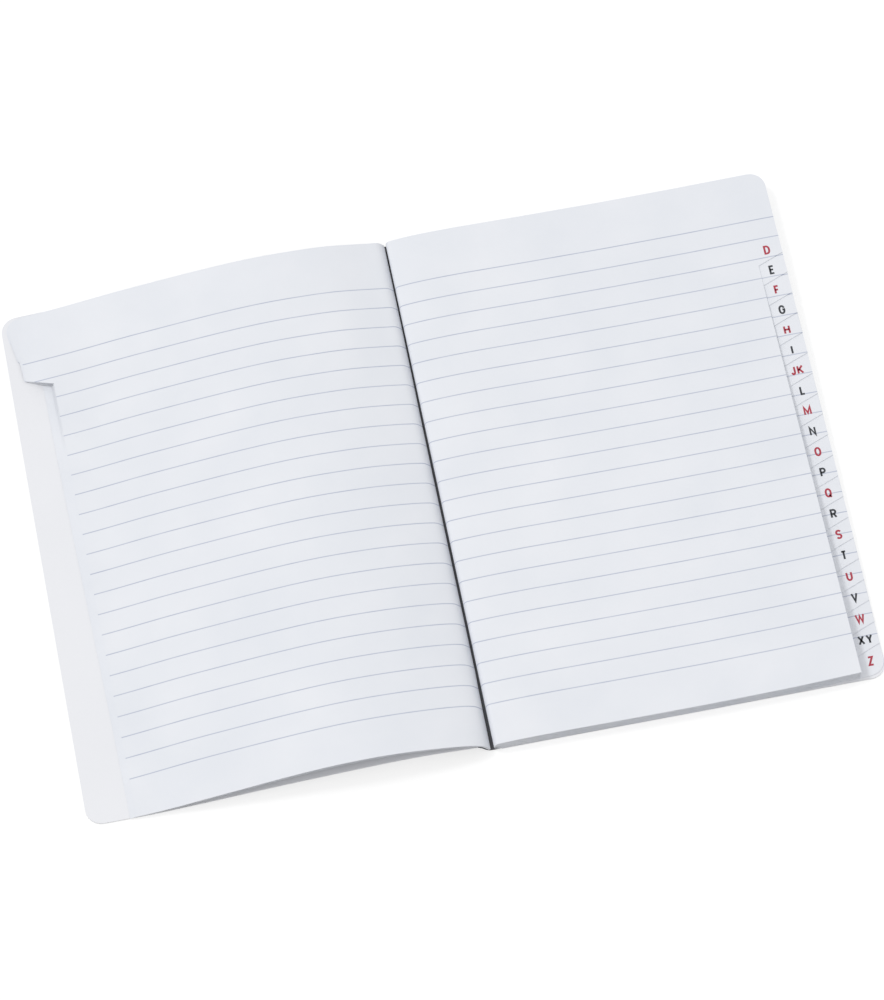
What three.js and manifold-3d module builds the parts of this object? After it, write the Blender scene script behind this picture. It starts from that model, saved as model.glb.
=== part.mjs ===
// An open A5 address book: a soft card cover, a cloth spine tape and 24 index sections with stepped letter tabs.
// It lies open between its third and fourth sections. Millimetres, +Z up, +Y towards the head of the pages.
import * as THREE from 'three';
import { mergeVertices } from 'three/addons/utils/BufferGeometryUtils.js';
import Module from 'manifold-3d';

const wasm = await Module();
wasm.setup();

// Pages
const PAGE_HEIGHT = 210;
const PAGE_REACH = 148; // from the gutter to the fore edge of the flat side
const TURNED_RUN = 149.2; // length of a turned leaf along its curve
const CORNER_RADIUS = 6;
const SECTION_THICKNESS = 0.286; // three leaves
const SECTION_COUNT = 24;
const TURNED_COUNT = 3;

// Letter tabs, measured down from the head
const TAB_DEPTH = 10.2;
const FIRST_TAB_END = 9.7;
const LAST_TAB_LENGTH = 12;
const TAB_CUT_FALL = 3.9; // how far the slanted cut drops from the fore edge inwards
const TAB_ROOT = 1; // how far a tab's solid runs into the leaf

// Cover and spine
const COVER_THICKNESS = 0.5;
const TAPE_THICKNESS = 0.4;
const GLUE_THICKNESS = 0.2;
const CLEARANCE = 0.3;
const BACK_COVER_START = 3.6;
const FRONT_COVER_START = 5.3;

// Gutter: the flat side curves down to its folds here
const FOLD_X = 0.5;
const FOLD_HEIGHT = 1.6; // above the back cover
const FOLD_RUN = 5;

// Heights over the table of the raised front cover's underside, and of the turned leaves' underside above
// the cover's own thickness. Each pair is a distance from the gutter and a height.
const COVER_START_HEIGHT = 5.4;
const COVER_CREST = [28, 7.2];
const COVER_SHOULDER = [72, 4.9];
const COVER_LANDING = [126, 0];
const LEAF_FOOT = [0.85, 0.6];
const LEAF_RISE = [4.4, 5.1];
const LEAF_SHOULDER = [12, 8.7];
const LEAF_CREST = [48, 12.5];
const LEAF_FALL = [98, 5.8];
const LEAF_LANDING = [130, CLEARANCE];

// Finish
const CURVE_STEPS = 44;
const SPINE_STEPS = 22;
const FIRST_GLUED = 2; // the step along the spine where the glue begins
const ARC_STEPS = 8;
const WELD = 1e-5; // points closer than this are one
const SLIVER = 1e-3; // details smaller than this are dropped from a finished solid
const PAPER = { color: 0xe8ebf1, roughness: 0.85, metalness: 0 };
const CARD = { color: 0xf2f3f5, roughness: 0.6, metalness: 0 };
const CLOTH = { color: 0x262b38, roughness: 0.9, metalness: 0 };
const GLUE = { color: 0x44454b, roughness: 0.5, metalness: 0 };

const HEAD = PAGE_HEIGHT / 2;
const FOOT = -PAGE_HEIGHT / 2;
const BLOCK_SECTIONS = SECTION_COUNT - TURNED_COUNT;
const BLOCK_TOP = COVER_THICKNESS + BLOCK_SECTIONS * SECTION_THICKNESS;
const NARROW_REACH = PAGE_REACH - TAB_DEPTH;
const TAB_PITCH = (PAGE_HEIGHT - FIRST_TAB_END - LAST_TAB_LENGTH) / (SECTION_COUNT - 2);

function toSolid(geometry) {
  geometry.deleteAttribute('normal');
  geometry.deleteAttribute('uv');
  const merged = mergeVertices(geometry, WELD);
  return new wasm.Manifold(new wasm.Mesh({
    numProp: 3,
    vertProperties: merged.attributes.position.array,
    triVerts: Uint32Array.from(merged.index.array),
  }));
}

function toGeometry(solid) {
  const mesh = solid.simplify(SLIVER).getMesh();
  const geometry = new THREE.BufferGeometry();
  geometry.setAttribute('position', new THREE.BufferAttribute(Float32Array.from(mesh.vertProperties), 3));
  geometry.setIndex(new THREE.BufferAttribute(Uint32Array.from(mesh.triVerts), 1));
  geometry.computeVertexNormals();
  return geometry;
}

// A plan outline in X and Y, raised from one height to another
function upright(shape, low, high) {
  const geometry = new THREE.ExtrudeGeometry(shape, {
    depth: high - low,
    bevelEnabled: false,
    curveSegments: ARC_STEPS,
  });
  geometry.translate(0, 0, low);
  return geometry;
}

// A cross-section in X and Z, run from the head to the foot
function lengthwise(points) {
  const geometry = new THREE.ExtrudeGeometry(new THREE.Shape(points), {
    depth: PAGE_HEIGHT,
    bevelEnabled: false,
  });
  geometry.applyMatrix4(new THREE.Matrix4().set(
    1, 0, 0, 0,
    0, 0, -1, HEAD,
    0, 1, 0, 0,
    0, 0, 0, 1,
  ));
  return geometry;
}

// A smooth curve through points in X and Z, which never goes below the given height
function smoothCurve(points, steps, floor = -Infinity) {
  const curve = new THREE.CatmullRomCurve3(
    points.map(([x, z]) => new THREE.Vector3(x, 0, z)),
    false,
    'centripetal',
  );
  return curve.getSpacedPoints(steps).map((p) => new THREE.Vector2(p.x, Math.max(floor, p.z)));
}

// The same curve moved sideways, to its right as it runs: upwards, on a curve that leads away from the gutter
function offsetCurve(points, distance) {
  return points.map((point, i) => {
    const before = points[Math.max(0, i - 1)];
    const after = points[Math.min(points.length - 1, i + 1)];
    const along = after.clone().sub(before).normalize();
    return new THREE.Vector2(point.x + along.y * distance, point.y - along.x * distance);
  });
}

// A closed section between two offsets of one curve, from its first to its last step
function band(points, from, to, first = 0, last = points.length) {
  const low = offsetCurve(points, from).slice(first, last);
  const high = offsetCurve(points, to).slice(first, last);
  return [...low, ...high.reverse()];
}

// How far from the gutter a sheet of the given length reaches when it follows the curve
function reachAlong(points, length) {
  let left = length;
  for (let i = 1; i < points.length; i += 1) {
    const step = points[i].distanceTo(points[i - 1]);
    if (step >= left) return Math.abs(points[i - 1].x + (points[i].x - points[i - 1].x) * left / step);
    left -= step;
  }
  return Math.abs(points.at(-1).x);
}

// Plan outline from one distance off the gutter to the fore edge, with its fore corners rounded.
// side is 1 for the right of the gutter and -1 for the left.
function sheetOutline(side, start, reach) {
  const shape = new THREE.Shape();
  const clockwise = side < 0;
  const turn = (angle) => (clockwise ? Math.PI - angle : angle);
  const inner = side * start;
  const arcX = side * (reach - CORNER_RADIUS);
  shape.moveTo(inner, FOOT);
  shape.lineTo(arcX, FOOT);
  shape.absarc(arcX, FOOT + CORNER_RADIUS, CORNER_RADIUS, turn(-Math.PI / 2), turn(0), clockwise);
  shape.absarc(arcX, HEAD - CORNER_RADIUS, CORNER_RADIUS, turn(0), turn(Math.PI / 2), clockwise);
  shape.lineTo(inner, HEAD);
  shape.closePath();
  return shape;
}

// Plan outline of the part of a leaf beyond its narrow edge, down to the slanted cut under its tab
function tabOutline(index, side, narrow, reach) {
  const shape = new THREE.Shape();
  const clockwise = side > 0;
  const turn = (angle) => (clockwise ? angle : Math.PI - angle);
  const root = side * (narrow - TAB_ROOT);
  const edge = side * reach;
  const arcX = side * (reach - CORNER_RADIUS);
  const end = HEAD - FIRST_TAB_END - index * TAB_PITCH;
  const slope = TAB_CUT_FALL / TAB_DEPTH;
  const rootEnd = end - slope * (reach - narrow + TAB_ROOT);
  shape.moveTo(root, HEAD);
  shape.lineTo(arcX, HEAD);
  shape.absarc(arcX, HEAD - CORNER_RADIUS, CORNER_RADIUS, turn(Math.PI / 2), turn(0), clockwise);
  if (index < SECTION_COUNT - 1) {
    shape.lineTo(edge, end);
    shape.lineTo(root, rootEnd);
  } else {
    shape.lineTo(edge, FOOT + CORNER_RADIUS);
    shape.absarc(arcX, FOOT + CORNER_RADIUS, CORNER_RADIUS, turn(0), turn(-Math.PI / 2), clockwise);
    shape.lineTo(root, FOOT);
  }
  shape.closePath();
  return shape;
}

function joined(solids) {
  return solids.reduce((whole, solid) => whole.add(solid));
}

// The flat side: its spine end curves down to the folds, and its tabs step down towards the foot
function leafBlock() {
  const foldTop = COVER_THICKNESS + FOLD_HEIGHT;
  const rise = new THREE.EllipseCurve(
    FOLD_X + FOLD_RUN, foldTop, FOLD_RUN, BLOCK_TOP - foldTop, Math.PI, Math.PI / 2, true,
  ).getPoints(ARC_STEPS);
  const under = new THREE.EllipseCurve(
    BACK_COVER_START + CLEARANCE, foldTop, BACK_COVER_START + CLEARANCE - FOLD_X, FOLD_HEIGHT,
    -Math.PI / 2, -Math.PI, true,
  ).getPoints(ARC_STEPS).slice(0, -1);
  const narrow = toSolid(lengthwise([
    ...under,
    ...rise,
    new THREE.Vector2(NARROW_REACH, BLOCK_TOP),
    new THREE.Vector2(NARROW_REACH, COVER_THICKNESS),
  ]));
  const tabs = [];
  for (let index = TURNED_COUNT; index < SECTION_COUNT; index += 1) {
    const top = BLOCK_TOP - (index - TURNED_COUNT) * SECTION_THICKNESS;
    tabs.push(toSolid(upright(tabOutline(index, 1, NARROW_REACH, PAGE_REACH), COVER_THICKNESS, top)));
  }
  return toGeometry(joined([narrow, ...tabs]));
}

// The turned side: three sections that arch over the front cover, with their tabs at the head
function turnedLeaves() {
  const lie = COVER_THICKNESS + CLEARANCE;
  const far = TURNED_RUN + TAB_DEPTH;
  const path = smoothCurve([
    ...[LEAF_FOOT, LEAF_RISE, LEAF_SHOULDER, LEAF_CREST, LEAF_FALL, LEAF_LANDING]
      .map(([x, z]) => [-x, COVER_THICKNESS + z]),
    [-far, lie],
  ], 2 * CURVE_STEPS, lie);
  const reach = reachAlong(path, TURNED_RUN);
  const narrow = reachAlong(path, TURNED_RUN - TAB_DEPTH);
  const top = TURNED_COUNT * SECTION_THICKNESS;
  const ceiling = 2 * LEAF_CREST[1];
  const body = new THREE.Shape([
    new THREE.Vector2(0, HEAD),
    new THREE.Vector2(-narrow, HEAD),
    new THREE.Vector2(-narrow, FOOT),
    new THREE.Vector2(0, FOOT),
  ]);
  const sections = [];
  for (let index = 0; index < TURNED_COUNT; index += 1) {
    const arch = toSolid(lengthwise(band(path, index * SECTION_THICKNESS, top)));
    const plan = toSolid(upright(body, 0, ceiling))
      .add(toSolid(upright(tabOutline(index, -1, narrow, reach), 0, ceiling)));
    sections.push(arch.intersect(plan));
  }
  return toGeometry(joined(sections));
}

// The raised front cover, which comes down to the table near its fore edge
function frontCover() {
  const start = [-FRONT_COVER_START, COVER_START_HEIGHT];
  const far = PAGE_REACH + TAB_DEPTH;
  const path = smoothCurve([
    start,
    ...[COVER_CREST, COVER_SHOULDER, COVER_LANDING].map(([x, z]) => [-x, z]),
    [-far, 0],
  ], CURVE_STEPS, 0);
  const reach = reachAlong(path, PAGE_REACH - BACK_COVER_START);
  const section = toSolid(lengthwise([
    ...path,
    ...path.map((p) => new THREE.Vector2(p.x, p.y + COVER_THICKNESS)).reverse(),
  ]));
  const plan = toSolid(upright(sheetOutline(-1, 0, reach), -COVER_THICKNESS, 2 * COVER_CREST[1]));
  return { geometry: toGeometry(section.intersect(plan)), reach };
}

function backCover() {
  return upright(sheetOutline(1, BACK_COVER_START, PAGE_REACH), 0, COVER_THICKNESS);
}

// The line that the cloth tape follows, from the back cover under the folds and up to the front cover
function spinePath() {
  const half = TAPE_THICKNESS / 2;
  return smoothCurve([
    [BACK_COVER_START - CLEARANCE, half],
    [FOLD_X, half],
    [-LEAF_FOOT[0] - CLEARANCE, half + CLEARANCE],
    [-LEAF_RISE[0] + 2 * CLEARANCE, COVER_START_HEIGHT - FOLD_HEIGHT],
    [-FRONT_COVER_START + CLEARANCE, COVER_START_HEIGHT - CLEARANCE],
  ], SPINE_STEPS, half);
}

function spineTape() {
  const half = TAPE_THICKNESS / 2;
  return lengthwise(band(spinePath(), -half, half));
}

// The glue holds the folds to the inside of the tape, under the flat side and the first leaves
function bindingGlue() {
  const inside = TAPE_THICKNESS / 2;
  const lastGlued = SPINE_STEPS / 2;
  return lengthwise(band(spinePath(), inside, inside + GLUE_THICKNESS, FIRST_GLUED, lastGlued));
}

function addMesh(group, name, geometry, finish) {
  const mesh = new THREE.Mesh(geometry, new THREE.MeshStandardMaterial(finish));
  mesh.name = name;
  group.add(mesh);
}

const cover = frontCover();
const book = new THREE.Group();
book.name = 'address_book';
book.position.x = (cover.reach - PAGE_REACH) / 2;
addMesh(book, 'leaf_block', leafBlock(), PAPER);
addMesh(book, 'turned_leaves', turnedLeaves(), PAPER);
addMesh(book, 'front_cover', cover.geometry, CARD);
addMesh(book, 'back_cover', backCover(), CARD);
addMesh(book, 'spine_tape', spineTape(), CLOTH);
addMesh(book, 'binding_glue', bindingGlue(), GLUE);

export default book;
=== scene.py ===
"""Looks for an open address book: leaves with stepped letter tabs, a card cover and a cloth spine."""
import math
import random

import bpy
from mathutils import Matrix, Vector


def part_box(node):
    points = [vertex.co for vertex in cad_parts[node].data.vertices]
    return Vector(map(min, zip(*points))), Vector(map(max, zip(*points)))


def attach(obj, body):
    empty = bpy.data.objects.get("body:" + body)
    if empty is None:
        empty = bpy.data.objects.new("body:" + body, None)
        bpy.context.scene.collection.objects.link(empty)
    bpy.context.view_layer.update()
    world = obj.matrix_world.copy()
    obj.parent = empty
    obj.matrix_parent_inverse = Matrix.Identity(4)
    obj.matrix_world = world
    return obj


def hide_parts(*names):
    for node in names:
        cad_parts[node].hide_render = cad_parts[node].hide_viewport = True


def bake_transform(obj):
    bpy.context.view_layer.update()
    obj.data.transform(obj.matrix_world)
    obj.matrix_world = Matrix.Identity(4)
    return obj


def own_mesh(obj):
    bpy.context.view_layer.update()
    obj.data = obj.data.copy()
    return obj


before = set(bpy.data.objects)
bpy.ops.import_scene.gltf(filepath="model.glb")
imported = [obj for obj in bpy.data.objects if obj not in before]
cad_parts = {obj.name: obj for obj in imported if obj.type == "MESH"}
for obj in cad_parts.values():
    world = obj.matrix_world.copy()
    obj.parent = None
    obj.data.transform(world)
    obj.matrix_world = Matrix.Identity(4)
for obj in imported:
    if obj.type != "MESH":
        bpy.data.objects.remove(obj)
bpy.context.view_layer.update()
random.seed(7)

MM = 0.001
BLOCK_LOW, BLOCK_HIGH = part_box("leaf_block")
BACK_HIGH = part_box("back_cover")[1]

# Sizes are in millimetres. X is measured from the gutter line, and Y from the middle of the page
PAGE_REACH = 148.0
GUTTER = BLOCK_HIGH.x - PAGE_REACH * MM
HEAD = BLOCK_HIGH.y / MM
FOOT = BLOCK_LOW.y / MM
COVER = BACK_HIGH.z / MM
BLOCK_TOP = BLOCK_HIGH.z / MM
CORNER = 6.0
CORNER_ANGLES = range(0, 91, 15)
TAB_DEPTH = 10.2
FIRST_TAB_END = 9.7
LAST_TAB_LENGTH = 12.0
TAB_FALL = 3.9
TABS = ["A", "B", "C", "D", "E", "F", "G", "H", "I", "JK", "L", "M",
        "N", "O", "P", "Q", "R", "S", "T", "U", "V", "W", "XY", "Z"]
TURNED = 3
LEAVES_PER_TAB = 3
FLAT_COUNT = (len(TABS) - TURNED) * LEAVES_PER_TAB
TURNED_COUNT = TURNED * LEAVES_PER_TAB
TAB_PITCH = (HEAD - FOOT - FIRST_TAB_END - LAST_TAB_LENGTH) / (len(TABS) - 2)
LEAF_PITCH = (BLOCK_TOP - COVER) / FLAT_COUNT
PAPER_THICKNESS = 0.07
ROW_SPACING = 15.0
SHARP_ANGLE = 35

# The folds at the gutter
FOLD_X = 0.75
FOLD_RUN = 1.7
FOLD_HEIGHT = 1.6
FOLD_STEPS = 10
UNDER_RUN = 3.4
LEAST_RUN = 0.3
GUTTER_DIP = 1.5
DIP_AT_HEAD = 0.7
DIP_START = 2.0
DIP_FADE = 8.0

# The flat side: its leaves are a little uneven, its fore edge comes up and its middle sags.
# A RANGE is two distances from the gutter, and SHARES are two shares of the page's height: something sets in
# from the first to the second
FLAT_LINE = (20, 45, 75, 105, PAGE_REACH)
FLAT_STATIONS = (1, 2.5, 4, 6, 8.5, 12, 17, 25, 50, 80, 110)
TAB_STATIONS = (1.4, 2.8)
LEAF_TRIM = 0.12
LEAF_SHIFT = 0.1
SHIFT_RANGE = (0, 60)
SAG = 0.6
SAG_AT_FOOT = 0.5
SAG_START = 25
SAG_RUN = 118
FORE_RISE = 0.6
FORE_RISE_RANGE = (118, PAGE_REACH)
FOOT_TILT = 0.55
FOOT_TILT_RANGE = (70, PAGE_REACH)
FOOT_TILT_SHARES = (0.6, 0.95)

# The turned side. Each point of its line has its X, its height over the cover, how much of a leaf's lift goes
# into its X and its height, and how much of its droop it takes
TURNED_RUN = 145.9
REST_HEIGHT = 0.2
TURNED_LINE = [
    (-0.85, 0.65, 0.8, 0.5, 0.0),
    (-4.0, 5.15, 0.65, 0.75, 0.0),
    (-12, 8.4, 0.3, 1.0, 0.2),
    (-48, 12.5, 0.0, 1.0, 1.0),
    (-98, 5.8, 0.0, 1.0, 0.7),
    (-130, REST_HEIGHT, 0.0, 1.0, 0.0),
    (-160, REST_HEIGHT, 0.0, 1.0, 0.0),
]
TURNED_STATIONS = (0, 1.5, 3, 4.5, 6, 8, 10, 13, 17, 21, 26, 32, 38, 44, 50, 57, 64, 72, 80, 88, 96, 104, 112,
                   120, 128, 134)
LEAST_LIFT = 0.04
DROOP = 0.9

# The turned leaves fan out towards their fore edge
FAN_STEP = 0.3
FAN_AT_FOOT = 0.6
FAN_AT_HEAD = 1.35
FAN_UNEVENNESS = 0.4
FAN_RANGE = (20, 140)
FAN_SHARES = (0, 0.85)
TAB_FAN_AT_FOOT = 0.4
TAB_FAN = 4.5
TAB_FAN_RUN = 25
ON_TAB_RUN = 4

# The edge beside the third tab curls up. Where the curl starts and ends is measured from the fore edge
TAB_LIFT = 2.1
TAB_DROP = 0.9
TAB_LIFT_SPREAD = 16.0
LIFTED_LEAVES = 3
CURL_START = (30, 10)
CURL_END = (0, 9)

# The turned leaves lie lower towards the head, most of all beside the gutter
HEAD_SETTLE = 0.2
HEAD_SETTLE_RANGE = (-10, 35)
GUTTER_SETTLE = 1.9
GUTTER_SETTLE_START = (0.5, 6.5)
GUTTER_SETTLE_END = (28, 8)
PINCH_AT_HEAD = 0.3
PINCH_HEAD_SHARES = (0.5, 0.9)
PINCH_AT_FOOT = 0.4
PINCH_FOOT_SHARES = (0.15, 0.03)
PINCH_RANGE = (10, 0)

# The turned leaves and the front cover lie a little askew
HEAD_SKEW = 2.1
HEAD_SKEW_POWER = 3
FOOT_SKEW = 1.25
FOOT_SKEW_POWER = 7
COVER_SKEW = 1.4
SKEW_REACH = 132.0
HEAD_SPLAY = 2.2
HEAD_SPLAY_RANGE = (50, 130)
FOOT_DRAW = 0.6
FOOT_DRAW_RANGE = (0, 40)
FOOT_RETURN = 1.4
FOOT_RETURN_RANGE = (60, 120)
FOOT_MARGIN = 17.0

# The front cover and the cloth tape
CARD_SHORTER = 3.6
CARD_RUN = PAGE_REACH - CARD_SHORTER
CARD_STEPS = 60
CARD_ROWS = 15
CARD_RELIEF = 0.04
COVER_SETTLE = 0.38
COVER_SETTLE_RUN = 5
COVER_EDGE_X = -5.3
COVER_EDGE_HEIGHT = 5.4
COVER_LINE = [(COVER_EDGE_X, COVER_EDGE_HEIGHT), (-28, 7.2), (-72, 4.9), (-126, 0), (-170, 0)]
COVER_SPAN = 14
TAPE_THIN = 0.12
TAPE_THICK = 0.3
TAPE_INSET = 0.2
TAPE_STEPS = 30
TAPE_ROWS = 22
FLAP_WIDTH = 14
SPINE_LINE = [(19, -TAPE_THIN / 2), (8, -TAPE_THIN / 2), (3.6, 0.0), (0.5, 0.14), (-1.15, 0.5), (-3.8, 3.8),
              (COVER_EDGE_X, COVER_EDGE_HEIGHT - TAPE_THIN / 2)]
SPINE_SPAN = 12
SPINE_MIDDLE = 3

# Ruled lines
FIRST_LINE = 19.83
LINE_PITCH = 8.303
LINE_COUNT = 22
LINE_HALF_WIDTH = 0.19
LINE_SOFTNESS = 0.12

# Letters
CAP_HEIGHT = 3.8
STROKE = 0.74
LETTER_INSET = 5.7
LETTER_DRIFT = 0.75
LETTER_DROP = 7.8
LETTER_PITCH = 8.5
LETTER_GAP = 0.15
LETTER_THICKNESS = 0.02
ARC_STEP = 20
MITRE_LIMIT = 0.35
SAME_POINT = 1e-3

# The cloth's weave, the floor in metres, the light and the camera
THREAD_PITCH = 0.55
FLOOR_HALF = 6.0
FLOOR_HEIGHT = -0.0002
FLOOR_GLOW = 0.7
DOME_STRENGTH = 0.8
KEY_STRENGTH = 0.76
KEY_SPREAD = 12
KEY_DIRECTION = (0.63, -0.36, -1.0)
CAMERA_ANGLES = (-9.66, 65.92, -1.62)
CAMERA_PLACE = (-114.5, -684.0, 1545.1)
CAMERA_LENS = 163.16
SENSOR_HEIGHT = 36
CLIP_START = 0.05


def clamp(value):
    """Keeps a value between 0 and 1."""
    return min(1.0, max(0.0, value))


def ramp(value, start, end):
    """Eases from 0 at start to 1 at end."""
    share = clamp((value - start) / (end - start))
    return share * share * (3 - 2 * share)


def spline(points, per_span=10):
    """Centripetal curve through points in X and Z, as a dense list of points."""
    points = [Vector(p) for p in points]
    ends = [points[0] * 2 - points[1]] + points + [points[-1] * 2 - points[-2]]
    curve = []
    for i in range(1, len(ends) - 2):
        p0, p1, p2, p3 = ends[i - 1:i + 3]
        t0 = 0.0
        t1 = t0 + math.sqrt((p1 - p0).length)
        t2 = t1 + math.sqrt((p2 - p1).length)
        t3 = t2 + math.sqrt((p3 - p2).length)
        for k in range(per_span):
            t = t1 + (t2 - t1) * k / per_span
            a1 = p0.lerp(p1, (t - t0) / (t1 - t0))
            a2 = p1.lerp(p2, (t - t1) / (t2 - t1))
            a3 = p2.lerp(p3, (t - t2) / (t3 - t2))
            b1 = a1.lerp(a2, (t - t0) / (t2 - t0))
            b2 = a2.lerp(a3, (t - t1) / (t3 - t1))
            curve.append(b1.lerp(b2, (t - t1) / (t2 - t1)))
    curve.append(points[-1])
    return curve


class Path:
    """A curve in X and Z that can be read by the distance along it."""

    def __init__(self, points):
        self.points = points
        self.marks = [0.0]
        for a, b in zip(points, points[1:]):
            self.marks.append(self.marks[-1] + (b - a).length)

    def at(self, distance):
        """The point at a distance, and the unit normal on the side that is up at the far end."""
        marks = self.marks
        i = 1
        while i < len(marks) - 1 and marks[i] < distance:
            i += 1
        a, b = self.points[i - 1], self.points[i]
        share = (distance - marks[i - 1]) / (marks[i] - marks[i - 1])
        along = (b - a).normalized()
        side = 1 if self.points[-1].x > 0 else -1
        return a.lerp(b, share), Vector((-along.y, along.x)) * side


def shell(surface, normals, faces, thickness):
    """Vertices and faces of a closed sheet of one thickness round a mid-surface."""
    half = thickness / 2
    top = [p + n * half for p, n in zip(surface, normals)]
    bottom = [p - n * half for p, n in zip(surface, normals)]
    count = len(surface)
    solid = [tuple(f) for f in faces]
    solid += [tuple(v + count for v in reversed(f)) for f in faces]
    edges = {}
    for face in faces:
        for a, b in zip(face, list(face[1:]) + [face[0]]):
            edges[(a, b)] = True
    for a, b in edges:
        if (b, a) not in edges:
            solid.append((b, a, a + count, b + count))
    return top + bottom, solid


def make_object(name, verts, faces, material, smooth_shaded=True, page=None):
    """A mesh object from points in millimetres. page holds each point's place on its flat leaf."""
    mesh = bpy.data.meshes.new(name)
    mesh.from_pydata([(GUTTER + v.x * MM, v.y * MM, v.z * MM) for v in verts], [], faces)
    mesh.materials.append(material)
    mesh.validate()
    mesh.update()
    if page:
        layer = mesh.uv_layers.new(name="page")
        for loop in mesh.loops:
            layer.data[loop.index].uv = page[loop.vertex_index] * MM
    obj = bpy.data.objects.new(name, mesh)
    bpy.context.scene.collection.objects.link(obj)
    if smooth_shaded:
        mesh.polygons.foreach_set("use_smooth", [True] * len(mesh.polygons))
        mesh.set_sharp_from_angle(angle=math.radians(SHARP_ANGLE))
    return obj


def tab_end(index):
    """Y of the outer, lower end of a tab."""
    return HEAD - FIRST_TAB_END - index * TAB_PITCH


def spread(low, high):
    """Evenly spaced values no more than one row apart."""
    count = max(1, math.ceil(abs(high - low) / ROW_SPACING))
    return [low + (high - low) * k / count for k in range(count + 1)]


def corner_stations(run):
    """Distances along a leaf that follow its rounded fore corner."""
    return [run - CORNER + CORNER * math.sin(math.radians(a)) for a in CORNER_ANGLES]


def corner_drop(distance, run):
    """How far the rounded corner has dropped from the head at a distance along the leaf."""
    into = max(0.0, distance - (run - CORNER))
    return CORNER - math.sqrt(max(0.0, CORNER * CORNER - into * into))


def add_leaf(build, path, run, index, place, stations):
    """Adds one leaf with the tab of its section. place turns a distance, Y and normal into a point."""
    narrow = run - TAB_DEPTH
    last = index == len(TABS) - 1
    slope = TAB_FALL / TAB_DEPTH
    root_end = FOOT if last else tab_end(index) - TAB_FALL
    low_rows = [] if last else spread(FOOT, root_end)[:-1]
    high_count = len(spread(root_end, HEAD))
    surface, normals, faces, columns, page = [], [], [], [], []
    tab_stations = [narrow + d for d in TAB_STATIONS] + corner_stations(run)
    for distance in [d for d in stations if d < narrow] + [narrow] + tab_stations:
        point, normal = path.at(distance)
        high = HEAD - corner_drop(distance, run)
        low = FOOT + corner_drop(distance, run) if last else tab_end(index) - slope * (run - distance)
        low = root_end if distance <= narrow else low
        ys = [low + (high - low) * k / (high_count - 1) for k in range(high_count)]
        if distance <= narrow:
            ys = low_rows + ys
        columns.append(range(len(surface), len(surface) + len(ys)))
        for y in ys:
            spot, up = place(point, normal, distance, y)
            surface.append(spot)
            normals.append(up)
            page.append(Vector((distance, y)))
    leftward = path.points[-1].x < 0
    for a, b in zip(columns, columns[1:]):
        a = list(a)[-len(b):] if len(a) > len(b) else list(a)
        b = list(b)
        for k in range(len(b) - 1):
            face = (a[k], b[k], b[k + 1], a[k + 1])
            faces.append(face[::-1] if leftward else face)
    verts, solid = shell(surface, normals, faces, PAPER_THICKNESS)
    start = len(build["verts"])
    build["verts"] += verts
    build["page"] += page + page
    build["faces"] += [tuple(v + start for v in f) for f in solid]


def block_leaf_path(height):
    """The line of one flat-side leaf: from its fold, round, and out to the fore edge."""
    fold_top = COVER + FOLD_HEIGHT
    points = []
    if height >= fold_top:
        share = (height - fold_top) / (BLOCK_TOP - fold_top)
        centre, run, rise = FOLD_X + FOLD_RUN, FOLD_RUN * share, height - fold_top
    else:
        share = (fold_top - height) / FOLD_HEIGHT
        centre, run, rise = FOLD_X + UNDER_RUN, UNDER_RUN * share, height - fold_top
    run = max(run, LEAST_RUN)
    for k in range(FOLD_STEPS + 1):
        a = math.pi / 2 * k / FOLD_STEPS
        points.append(Vector((centre - run * math.cos(a), fold_top + rise * math.sin(a))))
    points += [Vector((x, height)) for x in FLAT_LINE]
    return Path(points)


def make_flat_leaves(material):
    """The leaves under the right hand, from the last section up to the fourth."""
    build = {"verts": [], "faces": [], "page": []}
    for k in range(FLAT_COUNT):
        index = len(TABS) - 1 - k // LEAVES_PER_TAB
        path = block_leaf_path(COVER + (k + 0.5) * LEAF_PITCH)
        run = path.marks[-1] + random.uniform(-LEAF_TRIM, 0.0)
        shift = random.uniform(-LEAF_SHIFT, LEAF_SHIFT) if 0 < k < FLAT_COUNT - 1 else 0.0

        def place(point, normal, distance, y, shift=shift):
            down = (HEAD - y) / (HEAD - FOOT)
            bow = math.sin(math.pi * clamp((point.x - SAG_START) / SAG_RUN))
            sag = SAG * bow * (1 - (1 - SAG_AT_FOOT) * down)
            rise = FORE_RISE * ramp(point.x, *FORE_RISE_RANGE) * down
            tilt = FOOT_TILT * ramp(point.x, *FOOT_TILT_RANGE) * ramp(down, *FOOT_TILT_SHARES)
            drawn = y + shift * ramp(distance, *SHIFT_RANGE) - sag + rise + tilt
            height = (point.y - COVER) / (BLOCK_TOP - COVER)
            dip = GUTTER_DIP * (1 + DIP_AT_HEAD * (0.5 - down)) * height * height
            fade = math.exp(-max(0.0, point.x - DIP_START) / DIP_FADE)
            return Vector((point.x, drawn, point.y - dip * fade)), Vector((normal.x, 0, normal.y))

        fold = path.marks[:FOLD_STEPS + 1]
        add_leaf(build, path, run, index, place, fold + [fold[-1] + d for d in FLAT_STATIONS])
    return make_object("flat_leaves", build["verts"], build["faces"], material, page=build["page"])


def turned_leaf_path(level):
    """The line of one turned leaf, by its height in the pack: 0 at the bottom, 1 at the top."""
    lift = LEAST_LIFT + level * (TURNED_COUNT - 1) * LEAF_PITCH
    droop = (1 - level) * DROOP
    points = [(x + lift * lift_in_x, COVER + height + lift * lift_in_height - droop * droop_share)
              for x, height, lift_in_x, lift_in_height, droop_share in TURNED_LINE]
    return Path(spline(points))


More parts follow.
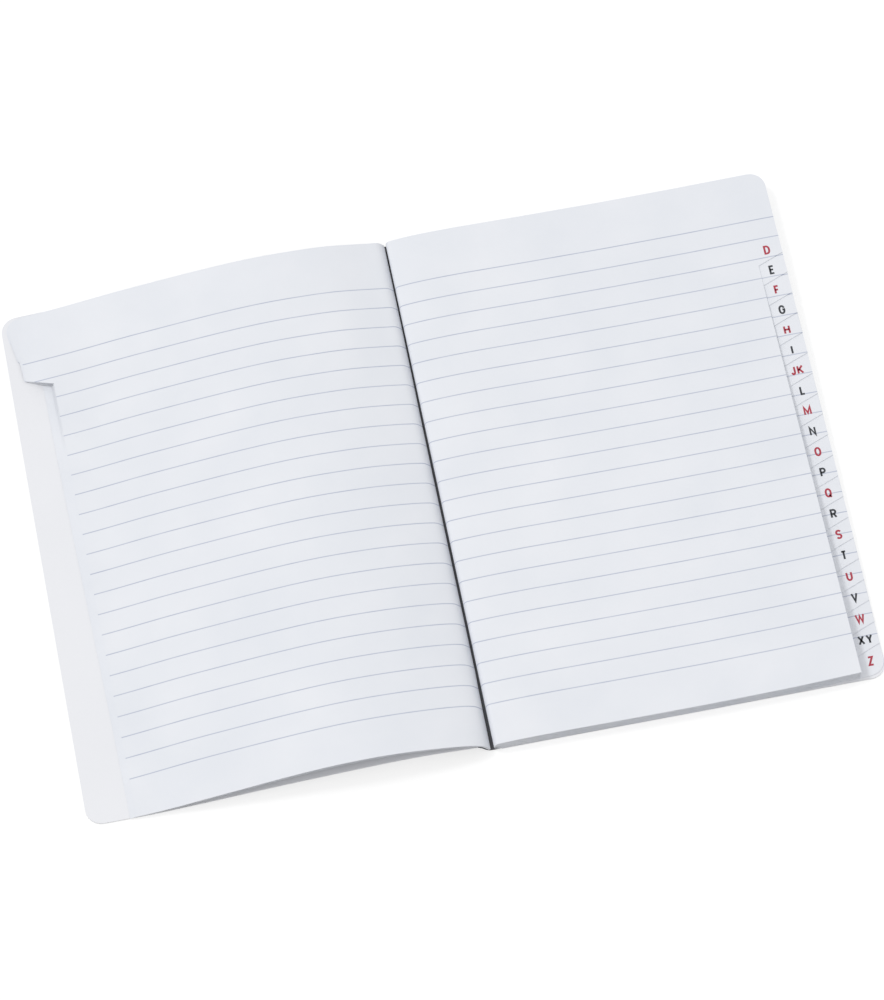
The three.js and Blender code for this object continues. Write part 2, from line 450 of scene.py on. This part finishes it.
def make_turned_leaves(material):
    """The leaves turned to the left, with the third section on top."""
    build = {"verts": [], "faces": [], "page": []}
    for k in range(TURNED_COUNT):
        index = k // LEAVES_PER_TAB
        under = TURNED_COUNT - 1 - k
        path = turned_leaf_path(k / (TURNED_COUNT - 1))
        steps = under + random.uniform(-FAN_UNEVENNESS, FAN_UNEVENNESS) * (under > 0)
        low = COVER + REST_HEIGHT + (k + 0.5) * LEAF_PITCH
        raised = TAB_LIFT * ramp(under, LIFTED_LEAVES, 0)

        def place(point, normal, distance, y, steps=steps, raised=raised, index=index, low=low):
            reach = -point.x
            up = (y - FOOT) / (HEAD - FOOT)
            short = TURNED_RUN - distance

            page_fan = steps * (FAN_AT_FOOT + (FAN_AT_HEAD - FAN_AT_FOOT) * ramp(up, *FAN_SHARES))
            tab_rise = ramp(y - tab_end(TURNED - 1), 0, TAB_FAN_RUN)
            tab_fan = min(steps, LEAVES_PER_TAB - 1) * (TAB_FAN_AT_FOOT + TAB_FAN * tab_rise)
            on_tab = ramp(short, TAB_DEPTH, TAB_DEPTH - ON_TAB_RUN)
            fan = FAN_STEP * (page_fan * (1 - on_tab) + tab_fan * on_tab) * ramp(distance, *FAN_RANGE)
            splay = HEAD_SPLAY * up * ramp(reach, *HEAD_SPLAY_RANGE)
            pinch = PINCH_AT_HEAD * ramp(up, *PINCH_HEAD_SHARES)
            pinch -= PINCH_AT_FOOT * ramp(up, *PINCH_FOOT_SHARES)
            x = point.x - fan - splay + pinch * ramp(reach, *PINCH_RANGE)

            off = (y - tab_end(index)) / TAB_LIFT_SPREAD
            curl = math.exp(-off * off) * ramp(short, *CURL_START) * ramp(short, *CURL_END)
            margin = ramp(y, FOOT + FOOT_MARGIN, FOOT)
            share = reach / SKEW_REACH
            skew = up * HEAD_SKEW * share ** HEAD_SKEW_POWER
            skew += (1 - up) * FOOT_SKEW * share ** FOOT_SKEW_POWER
            drawn = ramp(reach, *FOOT_DRAW_RANGE) - FOOT_RETURN * ramp(reach, *FOOT_RETURN_RANGE)
            moved = y - skew * (1 - margin) + FOOT_DRAW * drawn * margin - TAB_DROP * curl

            settle = 1 - HEAD_SETTLE * up * ramp(reach, *HEAD_SETTLE_RANGE)
            sink = GUTTER_SETTLE * up * ramp(reach, *GUTTER_SETTLE_START) * ramp(reach, *GUTTER_SETTLE_END)
            z = low + (point.y - low) * settle + raised * curl - sink
            return Vector((x, moved, z)), Vector((normal.x, 0, normal.y))

        add_leaf(build, path, TURNED_RUN, index, place, TURNED_STATIONS)
        if under:
            # Only the margins of the lower leaves show, and they carry no ruling
            build["page"] = [Vector((spot.x, HEAD)) for spot in build["page"]]
    return make_object("turned_ruled_leaves", build["verts"], build["faces"], material, page=build["page"])


def head_drop(x, y):
    """The share of their height that the front cover and its tape keep towards the head."""
    up = (y - FOOT) / (HEAD - FOOT)
    return 1 - COVER_SETTLE * up * ramp(-x, 0, COVER_SETTLE_RUN)


def cover_path():
    """The underside of the raised front cover."""
    return Path([Vector((p.x, max(0.0, p.y))) for p in spline(COVER_LINE, COVER_SPAN)])


def flatten_cover(piece):
    """Gives a cover piece a mesh of its own."""
    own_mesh(piece)


def strip_faces(columns, rows):
    """The faces of a net of points that runs away from the gutter, column by column from the foot up."""
    faces = []
    for i in range(columns - 1):
        for k in range(rows - 1):
            a = i * rows + k
            faces.append((a + 1, a + rows + 1, a + rows, a))
    return faces


def make_front_cover(material):
    """The front cover's card, following its solid, with rounded fore corners."""
    path = cover_path()
    half = COVER / 2
    straight = [CARD_RUN * k / CARD_STEPS for k in range(CARD_STEPS)]
    stations = [d for d in straight if d < CARD_RUN - CORNER] + corner_stations(CARD_RUN)
    surface, normals = [], []
    for distance in stations:
        point, normal = path.at(distance)
        edge = HEAD - corner_drop(distance, CARD_RUN)
        for k in range(CARD_ROWS):
            up = k / (CARD_ROWS - 1)
            y = -edge + 2 * edge * up - COVER_SKEW * up * (abs(point.x) / SKEW_REACH) ** HEAD_SKEW_POWER
            surface.append(Vector((point.x, y, point.y * head_drop(point.x, y) + half)))
            normals.append(Vector((normal.x, 0, normal.y)))
    verts, solid = shell(surface, normals, strip_faces(len(stations), CARD_ROWS), COVER - CARD_RELIEF)
    return make_object("front_cover_card", verts, solid, material)


def make_band(name, path, start, stop, thickness, lift, material):
    """A strip of cloth along part of a path, from the head to the foot."""
    surface, normals = [], []
    for i in range(TAPE_STEPS + 1):
        point, normal = path.at(start + (stop - start) * i / TAPE_STEPS)
        spot = point + normal * lift
        for k in range(TAPE_ROWS):
            y = FOOT + TAPE_INSET + (HEAD - FOOT - 2 * TAPE_INSET) * k / (TAPE_ROWS - 1)
            surface.append(Vector((spot.x, y, spot.y * head_drop(spot.x, y))))
            normals.append(Vector((normal.x, 0, normal.y)))
    verts, solid = shell(surface, normals, strip_faces(TAPE_STEPS + 1, TAPE_ROWS), thickness)
    return make_object(name, verts, solid, material)


def spine_path():
    """The line of the cloth tape, from under the back cover round the folds and up to the front cover."""
    return Path(spline(SPINE_LINE, SPINE_SPAN))


def arc(x, y, across, along, start, end):
    """Points on part of an ellipse, by angles in degrees."""
    steps = max(2, round(abs(end - start) / ARC_STEP))
    angles = [math.radians(start + (end - start) * k / steps) for k in range(steps + 1)]
    return [(x + across * math.cos(a), y + along * math.sin(a)) for a in angles]


RING = arc(0.5, 0.6, 0.5, 0.4, 0, 180) + arc(0.5, 0.4, 0.5, 0.4, 180, 360) + [(1, 0.6)]
BOWL = [(0, 0), (0, 1)] + arc(0.5, 0.74, 0.5, 0.26, 90, -90) + [(0, 0.48)]
# Each letter: its width as a share of the cap height, and its strokes in a unit box
LETTERS = {
    "D": (0.64, [[(0, 0), (0, 1)] + arc(0.4, 0.62, 0.6, 0.38, 90, 0) + arc(0.4, 0.38, 0.6, 0.38, 0, -90)
                 + [(0, 0)]]),
    "E": (0.55, [[(1, 1), (0, 1), (0, 0), (1, 0)], [(0, 0.52), (0.88, 0.52)]]),
    "F": (0.53, [[(1, 1), (0, 1), (0, 0)], [(0, 0.5), (0.85, 0.5)]]),
    "G": (0.66, [arc(0.5, 0.6, 0.5, 0.4, 15, 180) + arc(0.5, 0.4, 0.5, 0.4, 180, 360)
                 + [(1, 0.5), (0.6, 0.5)]]),
    "H": (0.66, [[(0, 0), (0, 1)], [(1, 0), (1, 1)], [(0, 0.52), (1, 0.52)]]),
    "I": (0.2, [[(0.5, 0), (0.5, 1)]]),
    "J": (0.48, [[(1, 1), (1, 0.3)] + arc(0.5, 0.3, 0.5, 0.3, 0, -170)]),
    "K": (0.66, [[(0, 0), (0, 1)], [(1, 1), (0.05, 0.4)], [(0.3, 0.56), (1, 0)]]),
    "L": (0.53, [[(0, 1), (0, 0), (1, 0)]]),
    "M": (0.79, [[(0, 0), (0, 1), (0.5, 0.2), (1, 1), (1, 0)]]),
    "N": (0.66, [[(0, 0), (0, 1), (1, 0), (1, 1)]]),
    "O": (0.66, [RING]),
    "P": (0.61, [BOWL]),
    "Q": (0.66, [RING, [(0.6, 0.25), (1.05, -0.1)]]),
    "R": (0.63, [BOWL, [(0.5, 0.48), (1, 0)]]),
    "S": (0.62, [arc(0.5, 0.75, 0.5, 0.25, 25, 270) + arc(0.5, 0.25, 0.5, 0.25, 70, -155)]),
    "T": (0.59, [[(0, 1), (1, 1)], [(0.5, 1), (0.5, 0)]]),
    "U": (0.64, [[(0, 1)] + arc(0.5, 0.35, 0.5, 0.35, 180, 360) + [(1, 1)]]),
    "V": (0.68, [[(0, 1), (0.5, 0), (1, 1)]]),
    "W": (0.95, [[(0, 1), (0.25, 0), (0.5, 0.85), (0.75, 0), (1, 1)]]),
    "X": (0.66, [[(0, 0), (1, 1)], [(0, 1), (1, 0)]]),
    "Y": (0.66, [[(0, 1), (0.5, 0.45), (1, 1)], [(0.5, 0.45), (0.5, 0)]]),
    "Z": (0.59, [[(0, 1), (1, 1), (0, 0), (1, 0)]]),
}


def add_stroke(build, points, z):
    """Adds one pen stroke as a thin plate with mitred corners."""
    points = [Vector(p) for p in points]
    points = [p for i, p in enumerate(points) if i == 0 or (p - points[i - 1]).length > SAME_POINT]
    closed = (points[0] - points[-1]).length < SAME_POINT
    if closed:
        points = points[:-1]
    count = len(points)
    start = len(build["verts"])
    for i, point in enumerate(points):
        before = points[i - 1] if closed or i > 0 else None
        after = points[(i + 1) % count] if closed or i < count - 1 else None
        into = (point - before).normalized() if before else (after - point).normalized()
        away = (after - point).normalized() if after else into
        side = Vector((-(into + away).y, (into + away).x)).normalized()
        half = STROKE / 2 / max(MITRE_LIMIT, side.dot(Vector((-into.y, into.x))))
        for level in (z, z - LETTER_THICKNESS):
            for hand in (side * half, -side * half):
                build["verts"].append(Vector((point.x + hand.x, point.y + hand.y, level)))
    for i in range(count if closed else count - 1):
        a = start + 4 * i
        b = start + 4 * ((i + 1) % count)
        build["faces"] += [(a, a + 1, b + 1, b), (a + 2, b + 2, b + 3, a + 3), (a, b, b + 2, a + 2),
                           (a + 1, a + 3, b + 3, b + 1)]
    if not closed:
        last = start + 4 * (count - 1)
        build["faces"] += [(start, start + 2, start + 3, start + 1), (last, last + 1, last + 3, last + 2)]


def add_letters(build, text, x, y, z):
    """Adds a printed letter, or a pair, centred on a place."""
    width = sum(LETTERS[c][0] for c in text) + LETTER_GAP * (len(text) - 1)
    left = -width / 2
    for c in text:
        share, strokes = LETTERS[c]
        for stroke in strokes:
            add_stroke(build, [(x + (left * CAP_HEIGHT) + STROKE / 2 + px * (share * CAP_HEIGHT - STROKE),
                                y - CAP_HEIGHT / 2 + STROKE / 2 + py * (CAP_HEIGHT - STROKE))
                               for px, py in stroke], z)
        left += share + LETTER_GAP


def make_tab_letters(red, black):
    """The letters of the flat side's tabs, in red and black by turns."""
    inks = [{"verts": [], "faces": []}, {"verts": [], "faces": []}]
    for index in range(TURNED, len(TABS)):
        top = BLOCK_TOP - (index - TURNED) * LEAVES_PER_TAB * LEAF_PITCH
        depth = (index - TURNED) / (len(TABS) - 1 - TURNED)
        x = PAGE_REACH - LETTER_INSET + LETTER_DRIFT * depth
        y = HEAD - LETTER_DROP - index * LETTER_PITCH
        add_letters(inks[index % 2], TABS[index], x, y, top + LETTER_THICKNESS / 2)
    return (make_object("black_tab_letters", inks[0]["verts"], inks[0]["faces"], black, smooth_shaded=False),
            make_object("red_tab_letters", inks[1]["verts"], inks[1]["faces"], red, smooth_shaded=False))


class Nodes:
    """A short way to build a material's nodes."""

    def __init__(self, name):
        self.material = bpy.data.materials.new(name)
        self.material.use_nodes = True
        self.tree = self.material.node_tree
        self.shader = self.tree.nodes["Principled BSDF"]

    def add(self, kind, **settings):
        node = self.tree.nodes.new(kind)
        for key, value in settings.items():
            setattr(node, key, value)
        return node

    def link(self, output, target):
        self.tree.links.new(output, target)

    def math(self, operation, first, second=None, third=None):
        node = self.add("ShaderNodeMath", operation=operation)
        for socket, value in zip(node.inputs, (first, second, third)):
            if value is None:
                continue
            if isinstance(value, (int, float)):
                socket.default_value = value
            else:
                self.link(value, socket)
        return node.outputs[0]

    def noise(self, scale, detail=3.0, stretch=(1, 1, 1)):
        coords = self.add("ShaderNodeTexCoord")
        mapping = self.add("ShaderNodeMapping")
        mapping.inputs["Scale"].default_value = stretch
        self.link(coords.outputs["Object"], mapping.inputs["Vector"])
        texture = self.add("ShaderNodeTexNoise")
        texture.inputs["Scale"].default_value = scale
        texture.inputs["Detail"].default_value = detail
        self.link(mapping.outputs["Vector"], texture.inputs["Vector"])
        return texture.outputs["Fac"]

    def mix(self, factor, first, second):
        node = self.add("ShaderNodeMix", data_type="RGBA")
        for name, value in (("Factor", factor), ("A", first), ("B", second)):
            socket = node.inputs[name]
            if isinstance(value, (tuple, float, int)):
                socket.default_value = value
            else:
                self.link(value, socket)
        return node.outputs["Result"]

    def roughness(self, texture, spread, least):
        self.link(self.math("MULTIPLY_ADD", texture, spread, least), self.shader.inputs["Roughness"])

    def bump(self, height, strength, distance):
        node = self.add("ShaderNodeBump")
        node.inputs["Strength"].default_value = strength
        node.inputs["Distance"].default_value = distance
        self.link(height, node.inputs["Height"])
        self.link(node.outputs["Normal"], self.shader.inputs["Normal"])


def srgb(red, green, blue):
    """A colour written as 0 to 255, in linear light."""
    def linear(value):
        value /= 255
        return value / 12.92 if value <= 0.04045 else ((value + 0.055) / 1.055) ** 2.4
    return (linear(red), linear(green), linear(blue), 1.0)


def set_socket(nodes, name, value):
    nodes.shader.inputs[name].default_value = value


def paper_material():
    """White writing paper with fibres, faint mottling and pale blue ruled lines."""
    nodes = Nodes("ruled_paper")
    mottle = nodes.noise(scale=38, detail=4)
    base = nodes.mix(nodes.math("MULTIPLY", nodes.math("SUBTRACT", mottle, 0.3), 2.2),
                     srgb(229, 232, 238), srgb(235, 237, 242))
    coords = nodes.add("ShaderNodeUVMap", uv_map="page")
    split = nodes.add("ShaderNodeSeparateXYZ")
    nodes.link(coords.outputs["UV"], split.inputs[0])
    down = nodes.math("SUBTRACT", (HEAD - FIRST_LINE) * MM, split.outputs["Y"])
    step = nodes.math("DIVIDE", down, LINE_PITCH * MM)
    nearest = nodes.math("ROUND", step)
    off = nodes.math("MULTIPLY", nodes.math("ABSOLUTE", nodes.math("SUBTRACT", step, nearest)), LINE_PITCH)
    band = nodes.add("ShaderNodeMapRange", interpolation_type="SMOOTHSTEP")
    nodes.link(off, band.inputs["Value"])
    band.inputs["From Min"].default_value = LINE_HALF_WIDTH + LINE_SOFTNESS
    band.inputs["From Max"].default_value = LINE_HALF_WIDTH - LINE_SOFTNESS
    inside = nodes.math("MULTIPLY", nodes.math("GREATER_THAN", nearest, -0.5),
                        nodes.math("LESS_THAN", nearest, LINE_COUNT - 0.5))
    ink = nodes.math("MULTIPLY_ADD", nodes.noise(scale=160, detail=2), 0.5, 0.55)
    line = nodes.math("MULTIPLY", nodes.math("MULTIPLY", band.outputs["Result"], inside), ink)
    colour = nodes.mix(line, base, srgb(176, 183, 202))
    nodes.link(colour, nodes.shader.inputs["Base Color"])
    set_socket(nodes, "Specular IOR Level", 0.25)
    nodes.roughness(nodes.noise(scale=900, detail=2), spread=0.16, least=0.72)
    nodes.bump(nodes.noise(scale=1500, detail=4, stretch=(1, 0.45, 1)), strength=0.12, distance=0.00004)
    return nodes.material


def card_material():
    """Smooth coated white card with a faint tooth and slightly duller patches."""
    nodes = Nodes("cover_card")
    colour = nodes.mix(nodes.noise(scale=24, detail=5), srgb(232, 233, 237), srgb(238, 239, 243))
    nodes.link(colour, nodes.shader.inputs["Base Color"])
    set_socket(nodes, "Specular IOR Level", 0.35)
    nodes.roughness(nodes.noise(scale=420, detail=3), spread=0.2, least=0.42)
    nodes.bump(nodes.noise(scale=2200, detail=3), strength=0.1, distance=0.00003)
    return nodes.material


def cloth_material():
    """Dark book cloth: a fine plain weave with a little sheen."""
    nodes = Nodes("spine_cloth")
    coords = nodes.add("ShaderNodeTexCoord")
    split = nodes.add("ShaderNodeSeparateXYZ")
    nodes.link(coords.outputs["Object"], split.inputs[0])
    thread = 2 * math.pi / (THREAD_PITCH * MM)
    across = nodes.math("ADD", split.outputs["X"], split.outputs["Z"])
    warp = nodes.math("SINE", nodes.math("MULTIPLY", across, thread))
    weft = nodes.math("SINE", nodes.math("MULTIPLY", split.outputs["Y"], thread))
    weave = nodes.math("MULTIPLY_ADD", nodes.math("MULTIPLY", warp, weft), 0.5, 0.5)
    patches = nodes.math("MULTIPLY", nodes.noise(scale=300, detail=3), 0.4)
    shade = nodes.math("MULTIPLY_ADD", weave, 0.6, patches)
    nodes.link(nodes.mix(shade, srgb(22, 26, 36), srgb(50, 56, 74)), nodes.shader.inputs["Base Color"])
    set_socket(nodes, "Roughness", 0.85)
    set_socket(nodes, "Sheen Weight", 0.15)
    nodes.bump(weave, strength=0.5, distance=0.00006)
    return nodes.material


def gutter_shade_glue_material():
    """A thin brittle glue film over the dark cloth, darkened further as painted shade for the deep gutter
    slit.
    """
    nodes = Nodes("binding_glue")
    # The glue's dark colour is partly painted shade: it makes the gutter slit darker than its own shade
    # would.
    colour = nodes.mix(nodes.noise(scale=260, detail=4), srgb(52, 54, 62), srgb(84, 84, 88))
    nodes.link(colour, nodes.shader.inputs["Base Color"])
    nodes.roughness(nodes.noise(scale=500, detail=3), spread=0.3, least=0.3)
    nodes.bump(nodes.noise(scale=350, detail=4), strength=0.4, distance=0.0001)
    return nodes.material


def ink_material(name, dark, light):
    """Printed ink that lies a little unevenly on the paper."""
    nodes = Nodes(name)
    nodes.link(nodes.mix(nodes.noise(scale=1100, detail=3), dark, light), nodes.shader.inputs["Base Color"])
    nodes.roughness(nodes.noise(scale=700, detail=2), spread=0.2, least=0.5)
    return nodes.material


def floor_material():
    """White floor that takes the object's shadow and looks white to the camera."""
    nodes = Nodes("floor_white")
    nodes.link(nodes.mix(nodes.noise(scale=3, detail=2), (0.36, 0.36, 0.36, 1), (0.38, 0.38, 0.38, 1)),
               nodes.shader.inputs["Base Color"])
    set_socket(nodes, "Roughness", 0.9)
    set_socket(nodes, "Specular IOR Level", 0.0)
    rays = nodes.add("ShaderNodeLightPath")
    mirrored = nodes.math("MAXIMUM", rays.outputs["Is Glossy Ray"], rays.outputs["Is Transmission Ray"])
    seen = nodes.math("MAXIMUM", rays.outputs["Is Camera Ray"], mirrored)
    nodes.shader.inputs["Emission Color"].default_value = (1, 1, 1, 1)
    nodes.link(nodes.math("MULTIPLY", seen, FLOOR_GLOW), nodes.shader.inputs["Emission Strength"])
    return nodes.material


def make_floor():
    """A wide floor under the book."""
    mesh = bpy.data.meshes.new("floor")
    signs = [(-1, -1), (1, -1), (1, 1), (-1, 1)]
    mesh.from_pydata([(x * FLOOR_HALF, y * FLOOR_HALF, FLOOR_HEIGHT) for x, y in signs], [], [(0, 1, 2, 3)])
    mesh.materials.append(floor_material())
    floor = bpy.data.objects.new("floor", mesh)
    bpy.context.scene.collection.objects.link(floor)


def make_light():
    """A soft key from the head's left, and a white dome."""
    world = bpy.data.worlds.new("dome")
    bpy.context.scene.world = world
    world.use_nodes = True
    tree = world.node_tree
    background = tree.nodes["Background"]
    background.inputs["Color"].default_value = (1, 1, 1, 1)
    rays = tree.nodes.new("ShaderNodeLightPath")
    first = tree.nodes.new("ShaderNodeMath")
    first.operation = "MAXIMUM"
    second = tree.nodes.new("ShaderNodeMath")
    second.operation = "MAXIMUM"
    strength = tree.nodes.new("ShaderNodeMapRange")
    strength.inputs["To Min"].default_value = DOME_STRENGTH
    strength.inputs["To Max"].default_value = 1.0
    tree.links.new(rays.outputs["Is Camera Ray"], first.inputs[0])
    tree.links.new(rays.outputs["Is Glossy Ray"], first.inputs[1])
    tree.links.new(first.outputs[0], second.inputs[0])
    tree.links.new(rays.outputs["Is Transmission Ray"], second.inputs[1])
    tree.links.new(second.outputs[0], strength.inputs["Value"])
    tree.links.new(strength.outputs["Result"], background.inputs["Strength"])
    light = bpy.data.lights.new("key", "SUN")
    light.energy = KEY_STRENGTH
    light.angle = math.radians(KEY_SPREAD)
    key = bpy.data.objects.new("key", light)
    key.rotation_mode = "QUATERNION"
    key.rotation_quaternion = Vector(KEY_DIRECTION).to_track_quat("-Z", "Y")
    bpy.context.scene.collection.objects.link(key)


def make_camera():
    """The photograph's camera, fitted to the page's lines and edges."""
    azimuth, elevation, roll = (math.radians(a) for a in CAMERA_ANGLES)
    back = Vector((math.sin(azimuth) * math.cos(elevation), -math.cos(azimuth) * math.cos(elevation),
                   math.sin(elevation)))
    level = Vector((math.cos(azimuth), math.sin(azimuth), 0))
    rise = back.cross(level)
    right = level * math.cos(roll) + rise * math.sin(roll)
    up = rise * math.cos(roll) - level * math.sin(roll)
    eye = Vector(CAMERA_PLACE) * MM + Vector((GUTTER, 0, 0))
    data = bpy.data.cameras.new("camera")
    data.sensor_fit = "VERTICAL"
    data.sensor_height = SENSOR_HEIGHT
    data.lens = CAMERA_LENS
    data.clip_start = CLIP_START
    camera = bpy.data.objects.new("camera", data)
    camera.matrix_world = Matrix((
        (right.x, up.x, back.x, eye.x),
        (right.y, up.y, back.y, eye.y),
        (right.z, up.z, back.z, eye.z),
        (0, 0, 0, 1),
    ))
    bpy.context.scene.collection.objects.link(camera)
    bpy.context.scene.camera = camera


def paint(node, material):
    """Gives a CAD node its finish."""
    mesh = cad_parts[node].data
    mesh.materials.clear()
    mesh.materials.append(material)


make_camera()
make_light()
make_floor()

paper = paper_material()
card = card_material()
cloth = cloth_material()

flat_leaves = make_flat_leaves(paper)
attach(flat_leaves, "page_block")
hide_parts("leaf_block")

turned_leaves = make_turned_leaves(paper)
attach(turned_leaves, "front_cover")
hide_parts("turned_leaves")
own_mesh(turned_leaves)

front_cover = make_front_cover(card)
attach(front_cover, "front_cover")
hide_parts("front_cover")
flatten_cover(front_cover)

paint("back_cover", card)
paint("binding_glue", gutter_shade_glue_material())

spine = spine_path()
middle = spine.marks[SPINE_MIDDLE * SPINE_SPAN]
tape_back = make_band("spine_tape_back", spine, 0, middle, TAPE_THIN, 0.0, cloth)
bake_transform(tape_back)

tape_front = make_band("spine_tape_front", spine, middle, spine.marks[-1], TAPE_THICK, 0.0, cloth)
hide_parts("spine_tape")
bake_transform(tape_front)

flap = make_band("spine_tape_flap", cover_path(), 0, FLAP_WIDTH, TAPE_THIN, -TAPE_THIN / 2, cloth)
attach(flap, "front_cover")
flatten_cover(flap)

red = ink_material("red_ink", srgb(160, 44, 62), srgb(186, 66, 82))
black = ink_material("black_ink", srgb(34, 38, 44), srgb(56, 60, 66))
for letters in make_tab_letters(red, black):
    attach(letters, "page_block")

bpy.context.scene.view_settings.view_transform = "Standard"
